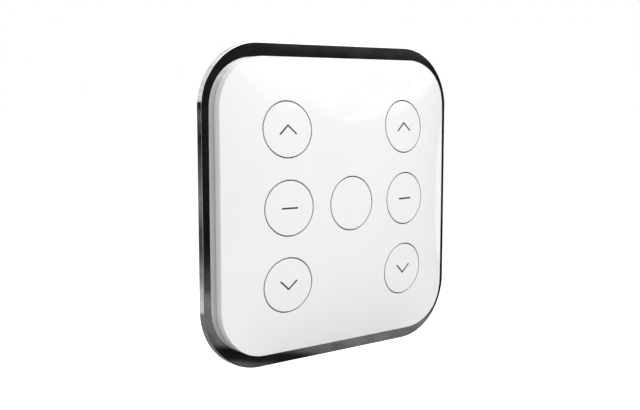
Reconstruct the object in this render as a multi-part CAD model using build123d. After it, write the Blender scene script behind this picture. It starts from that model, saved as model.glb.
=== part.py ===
from build123d import *
from math import atan2, cos, degrees, hypot, radians, sin, sqrt
import os

# Wall transmitter for a garage door: a crowned white cover with seven round keys, clamped
# round a flat chromed frame onto a shallow rear housing that hangs on a screwed wall plate.
# Millimetres. X is to the right, Z is up and Y goes into the wall, whose face is y = 0.
# A reach is a distance out from the wall, so a point at a reach of 5 has y = -5.

# Outlines: every rounded square shares the same four corner centres.
frame_half = 43.0
frame_corner_radius = 17.1
frame_band = 3.68
housing_inset = 4.0
plate_inset = 0.8
guide_inset = 0.4

# Walls, floors and plates
plate_thickness = 2.4
plate_edge_chamfer = 0.6
floor_thickness = 1.6
housing_edge_chamfer = 0.5
rim_wall = 1.6
rim_rise = 1.1
frame_thickness = 2.16
frame_edge_chamfer = 0.15
cover_side_height = 2.64
cover_wall = 2.0
cover_skin = 1.5
cover_edge_round = 0.25
board_thickness = 1.0
guide_thickness = 0.7

# Crown of the cover
crown_height = 4.74
crown_edge_share = 1.256
crown_overhang = 1.0
crown_margin = 1.5
crown_room = 30.0

# Clearances
hang_gap = 0.3
rim_to_cover = 1.0
rim_to_frame = 0.2
board_to_rim = 0.5
key_gap = 0.3
key_under_skin = 0.3
stem_fit = 0.06
screw_hole_gap = 0.15
thread_gap = 0.02
boss_gap = 0.8
guide_over_switch = 0.2
moving_gap = 0.25
door_fit = 0.15
lug_gap = 0.05
cell_gap = 0.15
cell_over_door = 0.2
guide_window_gap = 0.6
post_to_holder = 0.2
contact_gap = 0.1
plunger_fit = 0.1
hook_seat = 0.02

# Keys
key_to_boss = 1.73
key_web = 6.1
key_flange_lip = 1.2
key_flange_thickness = 0.8
key_face = 1.4
key_skirt_wall = 1.3
key_travel = 0.4
stem_radius = 1.5
guide_tube_radius = 2.6

# Legends set into the keys
legend_depth = 0.4
legend_stroke = 0.46
chevron_half_width = 2.4
chevron_height = 2.2
bar_width = 5.0

# Push switches on the board
switch_width = 5.2
switch_height = 1.5
switch_base = 0.2
switch_lid = 0.3
plunger_radius = 1.0
plunger_foot_radius = 1.65
plunger_rise = 0.4

# Board and how it is held
board_lift = 0.9
board_post_radius = 2.2
leg_near = 13.0
leg_inset = 3.22
leg_radius = 1.6
board_screw_radius = 1.0
board_screw_bite = 2.2

# Screws that draw the cover down on the housing
cover_screw_inset = 5.22
cover_screw_radius = 1.1
cover_screw_bite = 3.0
cover_boss_radius = 2.6
housing_boss_radius = 3.0
housing_boss_rise = 1.9
screw_seat_wall = 1.3
screw_head_radius = 1.9
screw_head_height = 1.2
screw_recess_width = 0.6
screw_recess_length = 2.2
screw_recess_depth = 0.7
boss_into_skin = 0.7

# Coin cell, its holder and its door
cell_x = 0.0
cell_edge_gap = 1.62
cell_radius = 10.0
cell_thickness = 3.2
cell_minus_inset = 1.4
cell_minus_step = 0.3
holder_wall = 1.25
holder_foot_lip = 0.7
holder_foot = 0.8
holder_roof = 0.8
holder_roof_bridge = 9.0
contact_thickness = 0.2
contact_width = 3.0
contact_pad_radius = 3.0
contact_foot_length = 1.2
plus_contact_height = 1.8
plus_contact_half_angle = 24.0
door_over_cell = 1.0
door_flange = 0.7
door_flange_lip = 1.0
door_rim_wall = 0.6
door_rim_rise = 0.45
lug_reach = 1.0
lug_count = 3
lug_angle = 28.0
lug_notch_extra = 6.0
door_turn = 45.0
coin_slot_length = 14.0
coin_slot_width = 2.0
coin_slot_depth = 0.9

# Wall plate: screw holes on the circle of a standard square wall box, and four hooks
wall_screw_circle = 60.3
wall_screw_count = 4
wall_screw_hole_radius = 2.1
wall_screw_sink_radius = 3.6
hook_to_door = 2.45
hook_below_cell = 4.5
hook_to_boss = 1.1
hook_width = 8.0
hook_stem = 1.6
hook_lip_reach = 3.0
hook_lip_thickness = 0.8
hook_floor_web = 0.9
hook_lift = 3.4
hook_side_gap = 0.4

# Parts soldered on the board: heights, widths and the gaps from one to the next
chip_rise = 1.2
chip_width = 7.0
chip_gap = 3.5
radio_rise = 0.9
radio_width = 4.0
radio_gap = 2.2
crystal_gap = 2.8
crystal_width = 3.2
crystal_height = 2.5
crystal_rise = 0.8
capacitor_width = 0.8
capacitor_length = 1.6
capacitor_rise = 0.8
capacitor_pitch = 2.6
capacitor_count = 4
capacitor_gap = 2.3
antenna_width = 20.0
antenna_height = 4.0
antenna_track = 0.8
antenna_thickness = 0.3
antenna_edge_gap = 2.02
antenna_feed_gap = 1.2

# Half widths worked out from what they fit into
corner_centre = frame_half - frame_corner_radius
cover_half = frame_half - frame_band
crown_half = cover_half + crown_overhang
housing_half = frame_half - housing_inset
plate_half = housing_half - plate_inset
cover_inner_half = cover_half - cover_wall
rim_outer_half = cover_inner_half - rim_to_cover
rim_inner_half = rim_outer_half - rim_wall
frame_opening_half = rim_outer_half + rim_to_frame
board_half = rim_inner_half - board_to_rim
guide_half = board_half - guide_inset
cover_screw_spacing = rim_inner_half - cover_screw_inset
corner_notch = cover_screw_spacing - housing_boss_radius - boss_gap
leg_far = board_half - leg_inset

# The corner keys' flanges reach out to the cover's bosses, and the holes keep a web between them
key_room = sqrt(2) * cover_screw_spacing - cover_boss_radius - key_to_boss - key_flange_lip
key_pitch = (key_room + key_web / 2) / (sqrt(2) + 1 / 2)
key_radius = (key_pitch - key_web) / 2
key_flange_radius = key_radius + key_flange_lip
key_hole_radius = key_radius + key_gap
key_inner_radius = key_radius - key_skirt_wall
key_flange_top = cover_skin + key_under_skin
key_depth = key_flange_top + key_flange_thickness
cell_minus_radius = cell_radius - cell_minus_inset
holder_inner_radius = cell_radius + cell_gap
holder_outer_radius = holder_inner_radius + holder_wall
holder_foot_radius = holder_outer_radius + holder_foot_lip
board_window_radius = holder_outer_radius + door_fit
guide_window_radius = holder_outer_radius + guide_window_gap
contact_leg_radius = board_window_radius + contact_gap
door_hub_radius = cell_radius + door_over_cell
lug_radius = door_hub_radius + lug_reach
door_radius = lug_radius + door_flange_lip

# Places across and up the wall, worked out from the edges and from one piece to the next
cell_z = board_half - holder_foot_radius - cell_edge_gap
board_screw_x = (holder_foot_radius + board_post_radius + post_to_holder) / sqrt(2)
board_screw_z = cell_z - board_screw_x
hook_slot_height = hook_lift + hook_stem + hook_side_gap
hook_slot_width = hook_width + 2 * hook_side_gap
hook_x = door_radius + door_fit + hook_to_door + hook_slot_width / 2
hook_upper_z = cell_z - hook_below_cell
hook_lower_z = hook_slot_height + hook_to_boss + housing_boss_radius - cover_screw_spacing
antenna_z = antenna_height / 2 + antenna_edge_gap - board_half
radio_z = antenna_z + antenna_height / 2 + radio_gap + radio_width / 2
chip_z = radio_z + radio_width / 2 + chip_gap + chip_width / 2
crystal_x = radio_width / 2 + crystal_gap + crystal_width / 2
capacitor_x = -chip_width / 2 - capacitor_gap - capacitor_length / 2


def fall(place):
    """Fall of the crown along one axis: a square law that steepens towards the edge."""
    share = place / crown_half
    return share ** 2 * (1 + crown_edge_share * share ** 2) / (1 + crown_edge_share)


crown_scale = crown_height / fall(cover_half)


def crown_drop(x, z):
    """Drop of the crown below its apex: round contours in the middle, square ones at the edge."""
    return crown_scale * (1 - (1 - fall(x)) * (1 - fall(z)))


def deepest_drop(radius):
    """Drop of the crown at the outermost point of a circle round a corner key."""
    outermost = key_pitch + radius / sqrt(2)
    return crown_drop(outermost, outermost)


# Reaches, worked out from the wall outwards. The keys clear the guide when they are pressed.
plate_front = plate_thickness
floor_back = plate_front + hang_gap
floor_front = floor_back + floor_thickness
housing_boss_top = floor_front + housing_boss_rise
board_back = floor_front + board_lift
board_front = board_back + board_thickness
switch_top = board_front + switch_height
guide_back = switch_top + guide_over_switch
guide_front = guide_back + guide_thickness
plunger_top = switch_top + plunger_rise
cell_back = floor_front + cell_over_door
cell_front = cell_back + cell_thickness
key_rest = guide_front + moving_gap + key_travel
apex = key_rest + key_depth + deepest_drop(key_flange_radius)
cover_edge = apex - crown_height
frame_front = cover_edge - cover_side_height
frame_back = frame_front - frame_thickness
open_front = apex + crown_margin
rim_top = frame_front + rim_rise
key_ceiling = apex - deepest_drop(guide_tube_radius) - key_face
guide_tube_top = key_ceiling - key_travel - moving_gap
plunger_foot_top = switch_top - switch_lid - lug_gap
plunger_foot_back = board_front + switch_base + moving_gap + key_travel


def slab(sketch, start, end):
    """Extrude a flat outline from one reach to another."""
    return extrude(Plane.XZ.offset(start) * sketch, amount=end - start)


def rod(x, z, radius, start, end):
    """A round bar square to the wall."""
    return slab(Pos(x, z) * Circle(radius), start, end)


def block(x, z, width, height, start, end):
    """A rectangular bar square to the wall."""
    return slab(Pos(x, z) * Rectangle(width, height), start, end)


def rounded_square(half):
    """Square outline whose corners are struck from the shared corner centres."""
    return RectangleRounded(2 * half, 2 * half, half - corner_centre)


def ring_sector(x, z, inner, outer, middle, spread, start, end):
    """Part of a ring, as wide as an angle either side of a middle angle, in degrees."""
    reach_out = 2 * outer
    tip = [(0.0, 0.0)]
    for share in (-1.0, -0.5, 0.0, 0.5, 1.0):
        turn = radians(middle + share * spread)
        tip.append((reach_out * cos(turn), reach_out * sin(turn)))
    wedge = make_face(Polyline(*tip, close=True))
    return slab(Pos(x, z) * ((Circle(outer) - Circle(inner)) & wedge), start, end)


def room_before_crown():
    """The open space in front of the crown, as a solid to cut with.

    The fall is a polynomial of the fourth degree, so one patch of five by five control points
    holds the crown exactly. A square and a fourth power have the control values listed here.
    """
    span = cover_half + crown_margin
    square_controls = (1, 0, -1 / 3, 0, 1)
    fourth_controls = (1, -1, 1, -1, 1)
    square = (span / crown_half) ** 2 / (1 + crown_edge_share)
    fourth = crown_edge_share * (span / crown_half) ** 4 / (1 + crown_edge_share)
    falls = [square * p + fourth * q for p, q in zip(square_controls, fourth_controls)]
    places = [-span, -span / 2, 0, span / 2, span]
    rows = []
    for z, fall_up in zip(places, falls):
        row = []
        for x, fall_across in zip(places, falls):
            drop = crown_scale * (1 - (1 - fall_across) * (1 - fall_up))
            row.append(Vector(x, drop - apex, z))
        rows.append(row)
    surface = Face.make_bezier_surface(rows)
    return Solid.extrude(surface, Vector(0, -crown_room, 0))


crown_space = room_before_crown()


def behind_crown(shape, depth):
    """What is left of a shape at least a depth behind the crown."""
    return shape - Pos(0, depth, 0) * crown_space


def within_crown(shape, depth):
    """What is left of a shape less than a depth behind the crown."""
    return shape & Pos(0, depth, 0) * crown_space


def screw(x, z, radius, seat, tip):
    """Pan-head screw with a cross recess, from the seat of its head to its tip."""
    outwards = 1 if seat > tip else -1
    head_end = seat + outwards * screw_head_height
    floor = head_end - outwards * screw_recess_depth
    shank = rod(x, z, radius, min(seat, tip), max(seat, tip))
    head = rod(x, z, screw_head_radius, min(seat, head_end), max(seat, head_end))
    low = min(floor, head_end)
    high = max(floor, head_end)
    cross = block(x, z, screw_recess_length, screw_recess_width, low, high)
    cross += block(x, z, screw_recess_width, screw_recess_length, low, high)
    return shank + head - cross


def four_corners(across, up):
    """The four mirror images of a place."""
    return [(i * across, j * up) for i in (-1, 1) for j in (-1, 1)]


board_screw_places = four_corners(board_screw_x, board_screw_z)
cover_screw_places = four_corners(cover_screw_spacing, cover_screw_spacing)
leg_places = four_corners(leg_near, leg_far) + four_corners(leg_far, leg_near)
hook_places = [(side * hook_x, z) for side in (-1, 1) for z in (hook_upper_z, hook_lower_z)]

key_places = {
    "left_up": (-key_pitch, key_pitch),
    "left_stop": (-key_pitch, 0.0),
    "left_down": (-key_pitch, -key_pitch),
    "centre": (0.0, 0.0),
    "right_up": (key_pitch, key_pitch),
    "right_stop": (key_pitch, 0.0),
    "right_down": (key_pitch, -key_pitch),
}


def make_wall_plate():
    """Flat plate that is screwed to the wall, with four hooks that the housing drops over."""
    plate = slab(rounded_square(plate_half), 0, plate_front)
    front_edges = plate.edges().group_by(Axis.Y)[0]
    plate = chamfer(front_edges, plate_edge_chamfer)
    sink_depth = wall_screw_sink_radius - wall_screw_hole_radius
    for i in range(wall_screw_count):
        turn = radians(360 * i / wall_screw_count)
        x = wall_screw_circle / 2 * cos(turn)
        z = wall_screw_circle / 2 * sin(turn)
        plate -= rod(x, z, wall_screw_hole_radius, 0, plate_front)
        sink = Cone(wall_screw_hole_radius, wall_screw_sink_radius, sink_depth)
        middle = Plane.XZ.offset(plate_front - sink_depth / 2)
        plate -= middle * Pos(x, z) * sink
    lip_back = floor_back + hook_floor_web + lug_gap
    lip_front = lip_back + hook_lip_thickness
    for x, z in hook_places:
        top = z - hook_seat
        plate += block(x, top - hook_stem / 2, hook_width, hook_stem, plate_front, lip_front)
        lip_middle = top - hook_stem / 2 + hook_lip_reach / 2
        plate += block(x, lip_middle, hook_width, hook_stem + hook_lip_reach, lip_back, lip_front)
    return plate


def make_rear_housing():
    """Shallow tray: a floor, a step that carries the frame, and a rim that rises through it."""
    tray = slab(rounded_square(housing_half), floor_back, frame_back)
    tray = chamfer(tray.edges().group_by(Axis.Y)[-1], housing_edge_chamfer)
    tray += slab(rounded_square(rim_outer_half), frame_back, rim_top)
    tray -= slab(rounded_square(rim_inner_half), floor_front, rim_top)
    for x, z in board_screw_places:
        tray += rod(x, z, board_post_radius, floor_front, board_back)
        tray -= rod(x, z, board_screw_radius + thread_gap, board_back - board_screw_bite, board_back)
    for x, z in leg_places:
        tray += rod(x, z, leg_radius, floor_front, board_back)
    seat = housing_boss_top - screw_seat_wall
    for x, z in cover_screw_places:
        tray += rod(x, z, housing_boss_radius, floor_front, housing_boss_top)
        tray -= rod(x, z, screw_head_radius + screw_hole_gap, floor_back, seat)
        tray -= rod(x, z, cover_screw_radius + screw_hole_gap, seat, housing_boss_top)
    pocket_height = hook_slot_height + hook_lip_reach + hook_side_gap
    for x, z in hook_places:
        slot_middle = z - hook_slot_height / 2
        tray -= block(x, slot_middle, hook_slot_width, hook_slot_height, floor_back, floor_front)
        pocket_middle = z - hook_slot_height + pocket_height / 2
        web_front = floor_back + hook_floor_web
        tray -= block(x, pocket_middle, hook_slot_width, pocket_height, web_front, floor_front)
    ledge = floor_back + door_flange + lug_gap
    tray -= rod(cell_x, cell_z, door_radius + door_fit, floor_back, ledge)
    tray -= rod(cell_x, cell_z, door_hub_radius + door_fit, ledge, floor_front)
    notch_spread = (lug_angle + lug_notch_extra) / 2
    for i in range(lug_count):
        middle = 90 - door_turn + 360 * i / lug_count
        notch_radius = lug_radius + door_fit
        tray -= ring_sector(
            cell_x, cell_z, door_hub_radius, notch_radius, middle, notch_spread, ledge, floor_front
        )
    return tray


def make_battery_door():
    """Round door with bayonet lugs and a slot for a coin."""
    hub_front = floor_front
    rim_front = hub_front + door_rim_rise
    door = rod(cell_x, cell_z, door_radius, floor_back, floor_back + door_flange)
    door += rod(cell_x, cell_z, door_hub_radius, floor_back, rim_front)
    door -= rod(cell_x, cell_z, door_hub_radius - door_rim_wall, hub_front, rim_front)
    slot_front = floor_back + coin_slot_depth
    door -= block(cell_x, cell_z, coin_slot_length, coin_slot_width, floor_back, slot_front)
    lug_inner = door_hub_radius - door_rim_wall
    for i in range(lug_count):
        middle = 90 + 360 * i / lug_count
        lug_back = floor_front + lug_gap
        door += ring_sector(
            cell_x, cell_z, lug_inner, lug_radius, middle, lug_angle / 2, lug_back, rim_front
        )
    return door


def make_coin_cell():
    """Coin cell: the steel can faces the door, and the smaller minus cap faces the board."""
    step = cell_front - cell_minus_step
    can = rod(cell_x, cell_z, cell_radius, cell_back, step)
    return can + rod(cell_x, cell_z, cell_minus_radius, step, cell_front)


def make_minus_contact():
    """Strip that presses on the cell's minus cap, and steps down to the board."""
    front = cell_front + contact_thickness
    low = cell_z - contact_leg_radius - contact_thickness
    strip = block(cell_x, (low + cell_z) / 2, contact_width, cell_z - low, cell_front, front)
    strip += rod(cell_x, cell_z, contact_pad_radius, cell_front, front)
    leg_middle = low + contact_thickness / 2
    strip += block(cell_x, leg_middle, contact_width, contact_thickness, board_front, front)
    return strip


def make_plus_contact():
    """Curved strip against the can's side, with a foot that is soldered to the board."""
    middle = 90.0
    outer = cell_radius + contact_thickness / 2
    low = board_front - plus_contact_height / 2
    strip = ring_sector(
        cell_x, cell_z, cell_radius, outer, middle, plus_contact_half_angle,
        low, low + plus_contact_height
    )
    foot_top = holder_foot_radius + contact_gap + contact_foot_length
    foot_low = cell_radius + contact_thickness / 4
    foot_middle = cell_z + (foot_low + foot_top) / 2
    foot_front = board_front + contact_thickness
    foot = block(cell_x, foot_middle, contact_width, foot_top - foot_low, board_front, foot_front)
    foot -= rod(cell_x, cell_z, cell_radius, board_front, foot_front)
    return strip + foot


def make_battery_holder():
    """Ring round the cell that stands in the board's window, with a bridge over the cell."""
    back = floor_front + door_rim_rise + contact_gap
    roof_back = cell_front + contact_thickness
    roof_front = roof_back + holder_roof
    holder = rod(cell_x, cell_z, holder_outer_radius, back, roof_front)
    holder += rod(cell_x, cell_z, holder_foot_radius, board_front, board_front + holder_foot)
    holder -= rod(cell_x, cell_z, holder_inner_radius, back, roof_back)
    for side in (-1, 1):
        middle = cell_x + side * (holder_roof_bridge / 2 + holder_inner_radius / 2)
        width = holder_inner_radius
        gap = block(middle, cell_z, width, 2 * holder_inner_radius, roof_back, roof_front)
        holder -= gap & rod(cell_x, cell_z, holder_inner_radius, roof_back, roof_front)
    slot = contact_width + 2 * contact_gap
    leg_low = cell_z - contact_leg_radius - contact_thickness - contact_gap
    minus_middle = (leg_low + cell_z) / 2
    holder -= block(cell_x, minus_middle, slot, cell_z - leg_low, cell_front, roof_back)
    leg_high = cell_z - contact_leg_radius + contact_gap
    foot_low = cell_z - holder_foot_radius
    foot_middle = (foot_low + leg_high) / 2
    foot_front = board_front + holder_foot
    holder -= block(cell_x, foot_middle, slot, leg_high - foot_low, board_front, foot_front)
    plus_low = cell_z + cell_radius
    plus_high = cell_z + holder_foot_radius
    plus_front = board_front + contact_thickness + contact_gap
    plus_middle = (plus_low + plus_high) / 2
    holder -= block(cell_x, plus_middle, slot, plus_high - plus_low, board_front, plus_front)
    return holder


def notched_square(half):
    """Square with its corners cut out to clear the screw bosses."""
    notch = Rectangle(2 * (half - corner_notch), 2 * (half - corner_notch))
    outline = Rectangle(2 * half, 2 * half)
    for x, z in four_corners(half, half):
        outline -= Pos(x, z) * notch
    return outline


def make_circuit_board():
    """Board with a window for the coin cell and holes for the board screws."""
    board = slab(notched_square(board_half), board_back, board_front)
    board -= rod(cell_x, cell_z, board_window_radius, board_back, board_front)
    for x, z in board_screw_places:
        board -= rod(x, z, board_screw_radius + screw_hole_gap, board_back, board_front)
    return board


def make_button_guide():
    """Plate over the board, with a tube for each key's stem and legs that stand on the board."""
    guide = slab(notched_square(guide_half), guide_back, guide_front)
    guide -= rod(cell_x, cell_z, guide_window_radius, guide_back, guide_front)
    for x, z in board_screw_places:
        guide += rod(x, z, board_post_radius, board_front, guide_back)
        guide -= rod(x, z, board_screw_radius + screw_hole_gap, board_front, guide_front)
    for x, z in leg_places:
        guide += rod(x, z, leg_radius, board_front, guide_back)
    for x, z in key_places.values():
        guide += rod(x, z, guide_tube_radius, guide_front, guide_tube_top)
        guide -= rod(x, z, stem_radius + stem_fit, guide_back, guide_tube_top)
    return guide


def make_bezel_frame():
    """Flat chromed frame, held between the housing's step and the cover's edge."""
    frame = slab(rounded_square(frame_half), frame_back, frame_front)
    outer_edges = frame.edges().group_by(Axis.Y)[0] + frame.edges().group_by(Axis.Y)[-1]
    frame = chamfer(outer_edges, frame_edge_chamfer)
    return frame - slab(rounded_square(frame_opening_half), frame_back, frame_front)


def make_front_cover():
    """Crowned cover with a round hole for each key and a screw boss in each corner."""
    cover = behind_crown(slab(rounded_square(cover_half), frame_front, open_front), 0)
    face_edge = [e for e in cover.edges() if e.bounding_box().max.Y < -cover_edge + crown_margin]
    cover = fillet(face_edge, cover_edge_round)
    hollow = slab(rounded_square(cover_inner_half), frame_front, open_front)
    cover -= behind_crown(hollow, cover_skin)
    for x, z in key_places.values():
        cover -= rod(x, z, key_hole_radius, frame_front, open_front)
    for x, z in cover_screw_places:
        cover += behind_crown(rod(x, z, cover_boss_radius, housing_boss_top, open_front), boss_into_skin)
        bite = housing_boss_top + cover_screw_bite
        cover -= rod(x, z, cover_screw_radius + thread_gap, housing_boss_top, bite)
    return cover


def chevron(upwards):
    """Two strokes that meet at a point."""
    length = hypot(chevron_half_width, chevron_height)
    slope = degrees(atan2(chevron_height, chevron_half_width)) * upwards
    stroke = SlotCenterToCenter(length, legend_stroke)
    left = Pos(-chevron_half_width / 2, 0) * Rot(0, 0, slope) * stroke
    right = Pos(chevron_half_width / 2, 0) * Rot(0, 0, -slope) * stroke
    return left + right


def legend_outline(name):
    """The mark on a key, or nothing on the plain centre key."""
    if name.endswith("up"):
        return chevron(1)
    if name.endswith("down"):
        return chevron(-1)
    if name.endswith("stop"):
        return Rectangle(bar_width, legend_stroke)
    return None


def make_legend(name, x, z):
    """The mark, moulded into the key and flush with its face."""
    return within_crown(legend_room(name, x, z), legend_depth)


def legend_room(name, x, z):
    """The prism that the mark is cut from, up to the crown."""
    return behind_crown(slab(Pos(x, z) * legend_outline(name), guide_front, open_front), 0)


def make_key(name, x, z):
    """Round key, flush with the crown, with a flange behind the cover and a stem."""
    body = rod(x, z, key_radius, guide_front, open_front)
    flange = rod(x, z, key_flange_radius, guide_front, open_front)
    key = within_crown(behind_crown(body, 0), key_depth)
    key += within_crown(behind_crown(flange, key_flange_top), key_depth)
    key -= behind_crown(rod(x, z, key_inner_radius, guide_front, open_front), key_face)
    key += behind_crown(rod(x, z, stem_radius, plunger_top, open_front), key_face / 2)
    if legend_outline(name) is not None:
        key -= make_legend(name, x, z)
    return key


def make_switch_body(x, z):
    """Flat push switch with a well for its plunger."""
    body = block(x, z, switch_width, switch_width, board_front, switch_top)
    well_radius = plunger_foot_radius + plunger_fit
    well_back = board_front + switch_base
    body -= rod(x, z, well_radius, well_back, switch_top - switch_lid)
    return body - rod(x, z, plunger_radius + plunger_fit, switch_top - switch_lid, switch_top)


def make_switch_plunger(x, z):
    """Plunger with a foot that the switch's lid holds in."""
    foot = rod(x, z, plunger_foot_radius, plunger_foot_back, plunger_foot_top)
    return foot + rod(x, z, plunger_radius, plunger_foot_top, plunger_top)


def make_antenna():
    """Flat loop of copper track along the lower edge of the board."""
    front = board_front + antenna_thickness
    loop = block(0, antenna_z, antenna_width, antenna_height, board_front, front)
    inner_width = antenna_width - 2 * antenna_track
    inner_height = antenna_height - 2 * antenna_track
    loop -= block(0, antenna_z, inner_width, inner_height, board_front, front)
    feed_z = antenna_z + antenna_height / 2 - antenna_track / 2
    return loop - block(0, feed_z, antenna_feed_gap, antenna_track, board_front, front)


def make_capacitors():
    """Row of small capacitors beside the microcontroller."""
    row = []
    for i in range(capacitor_count):
        z = chip_z + capacitor_pitch * (i - (capacitor_count - 1) / 2)
        front = board_front + capacitor_rise
        row.append(block(capacitor_x, z, capacitor_length, capacitor_width, board_front, front))
    return Compound(children=row)


def make_cover_screws():
    """Four screws from the back of the housing into the cover's bosses."""
    seat = housing_boss_top - screw_seat_wall
    tip = housing_boss_top + cover_screw_bite - thread_gap
    screws = [screw(x, z, cover_screw_radius, seat, tip) for x, z in cover_screw_places]
    return Compound(children=screws)


def make_board_screws():
    """Four screws through the guide and the board into the housing's posts."""
    tip = board_back - board_screw_bite + thread_gap
    screws = [screw(x, z, board_screw_radius, guide_front, tip) for x, z in board_screw_places]
    return Compound(children=screws)


pieces = {
    "wall_plate": make_wall_plate(),
    "rear_housing": make_rear_housing(),
    "battery_door": make_battery_door(),
    "coin_cell": make_coin_cell(),
    "battery_holder": make_battery_holder(),
    "battery_plus_contact": make_plus_contact(),
    "battery_minus_contact": make_minus_contact(),
    "circuit_board": make_circuit_board(),
    "button_guide": make_button_guide(),
    "bezel_frame": make_bezel_frame(),
    "front_cover": make_front_cover(),
    "cover_screws": make_cover_screws(),
    "board_screws": make_board_screws(),
    "microcontroller": block(0, chip_z, chip_width, chip_width, board_front, board_front + chip_rise),
    "radio_chip": block(0, radio_z, radio_width, radio_width, board_front, board_front + radio_rise),
    "crystal": block(
        crystal_x, radio_z, crystal_width, crystal_height, board_front, board_front + crystal_rise
    ),
    "capacitors": make_capacitors(),
    "antenna_loop": make_antenna(),
}
for name, (x, z) in key_places.items():
    pieces["button_" + name] = make_key(name, x, z)
    if legend_outline(name) is not None:
        pieces["legend_" + name] = make_legend(name, x, z)
    pieces["switch_body_" + name] = make_switch_body(x, z)
    pieces["switch_plunger_" + name] = make_switch_plunger(x, z)

os.makedirs("parts", exist_ok=True)
for name, shape in pieces.items():
    export_step(shape, "parts/" + name + ".step")
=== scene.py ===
# %% [markdown]
# # Wall transmitter for a garage door, dressed in Blender
#
# The real object is a flat square unit for the wall: a gently crowned gloss white cover with
# seven round keys, and a flat chromed frame clamped behind it. The solids were drawn in CAD. This
# script gives every surface its finish, and remakes the four kinds of piece that the eye rests
# on, the cover, the keys, their marks and the frame, as fine meshes with softly rounded edges.

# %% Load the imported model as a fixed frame
from math import atan2, cos, pi, radians, sin

import bmesh
import bpy
import numpy as np
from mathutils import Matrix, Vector


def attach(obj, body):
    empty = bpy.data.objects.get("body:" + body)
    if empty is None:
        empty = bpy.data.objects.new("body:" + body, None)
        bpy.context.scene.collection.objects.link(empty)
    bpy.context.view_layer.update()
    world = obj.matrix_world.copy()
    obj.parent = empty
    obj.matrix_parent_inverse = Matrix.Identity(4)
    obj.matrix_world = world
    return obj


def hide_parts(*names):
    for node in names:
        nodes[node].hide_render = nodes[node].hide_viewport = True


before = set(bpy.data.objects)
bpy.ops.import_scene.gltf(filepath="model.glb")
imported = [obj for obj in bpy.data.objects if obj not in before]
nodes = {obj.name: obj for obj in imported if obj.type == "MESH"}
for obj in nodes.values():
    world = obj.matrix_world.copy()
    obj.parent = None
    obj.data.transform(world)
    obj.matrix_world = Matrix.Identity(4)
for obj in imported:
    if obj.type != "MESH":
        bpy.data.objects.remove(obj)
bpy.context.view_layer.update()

# %% [markdown]
# ## Sizes
#
# The new pieces must sit exactly where the CAD says. What the flat faces of a CAD node show is
# read from the model: half the width of the chromed frame and of the cover, and how far the
# frame, the cover's bosses and the plungers reach out. Round and crowned faces come as facets,
# so their sizes are repeated here, and the rest is worked out from both. Millimetres are easier
# to read, so the formulas work in millimetres, which become metres when a mesh is made. X is to
# the right, Z is up and Y goes into the wall. A reach is a distance out from the wall, so a
# reach of 5 is y = -5.

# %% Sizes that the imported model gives
MM = 0.001


def limits(name):
    """Least and greatest x, y and z of a CAD node's own points, in mm to five decimals."""
    mesh = nodes[name].data
    points = np.empty(3 * len(mesh.vertices), dtype=np.float32)
    mesh.vertices.foreach_get("co", points)
    points = points.reshape(-1, 3).astype(float) / MM
    return points.min(axis=0).round(5).tolist(), points.max(axis=0).round(5).tolist()


bezel_low, bezel_high = limits("bezel_frame")
frame_half = bezel_high[0]
frame_front = -bezel_low[1]
frame_back = -bezel_high[1]

cover_high = limits("front_cover")[1]
cover_half = cover_high[0]
housing_boss_top = -cover_high[1]

plunger_top = -limits("switch_plunger_centre")[0][1]
print("frame half", frame_half, "cover half", cover_half, "front", frame_front, "mm")

# %% [markdown]
# The corners of the frame and the cover share their centres, so the two outlines run parallel.
# The cover stands on the frame's front with a low side, and its crown rises from there. A key is
# as deep as the cover's skin, the space under it and the flange that holds the key in.
#
# Beside each rounding stands a spare row of points, which keeps the smooth shading of the
# rounding from leaking on to the flat. Points nearer than the merge distance become one.

# %% Sizes of the visible pieces
frame_corner_radius = 17.1
frame_lap = 0.8
cover_wall = 2.0
cover_skin = 1.5
cover_side_height = 2.64
crown_overhang = 1.0
crown_height = 4.74
crown_edge_share = 1.256

corner_centre = frame_half - frame_corner_radius
cover_inner_half = cover_half - cover_wall
frame_opening_half = cover_inner_half - frame_lap
crown_half = cover_half + crown_overhang
apex = frame_front + cover_side_height + crown_height

key_pitch = 20.499
key_radius = 7.2
key_gap = 0.3
key_wall = 1.3
key_flange_lip = 1.2
key_flange_thickness = 0.8
key_under_skin = 0.3
key_face = 1.4
stem_radius = 1.5

key_hole_radius = key_radius + key_gap
key_inner_radius = key_radius - key_wall
key_flange_radius = key_radius + key_flange_lip
key_flange_top = cover_skin + key_under_skin
key_depth = key_flange_top + key_flange_thickness

cover_screw_spacing = 29.5
cover_boss_radius = 2.6
cover_screw_hole_radius = 1.12
cover_screw_bite = 3.0

spare = 0.05
merge_distance = 0.002

key_places = {
    "left_up": (-key_pitch, key_pitch),
    "left_stop": (-key_pitch, 0.0),
    "left_down": (-key_pitch, -key_pitch),
    "centre": (0.0, 0.0),
    "right_up": (key_pitch, key_pitch),
    "right_stop": (key_pitch, 0.0),
    "right_down": (key_pitch, -key_pitch),
}
print("keys", len(key_places), "at a pitch of", key_pitch, "mm")

# %% [markdown]
# ## The crown
#
# The cover bulges like a pillow. Its contours are round in the middle and square at the edge.
# A product of two falls, one along each axis, has just that form: where one fall is small the
# other rules. The same formula places the cover, the keys and the marks, so they stay flush.


# %% The crown as a function of two places
def fall(place):
    """Fall along one axis: share squared, times one plus an edge term times share squared."""
    share = place / crown_half
    return share ** 2 * (1 + crown_edge_share * share ** 2) / (1 + crown_edge_share)


crown_scale = crown_height / fall(cover_half)


def crown_y(x, z):
    """y of the crown: minus the apex, plus the scale times one minus the product of what is left."""
    drop = crown_scale * (1 - (1 - fall(x)) * (1 - fall(z)))
    return drop - apex


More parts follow.
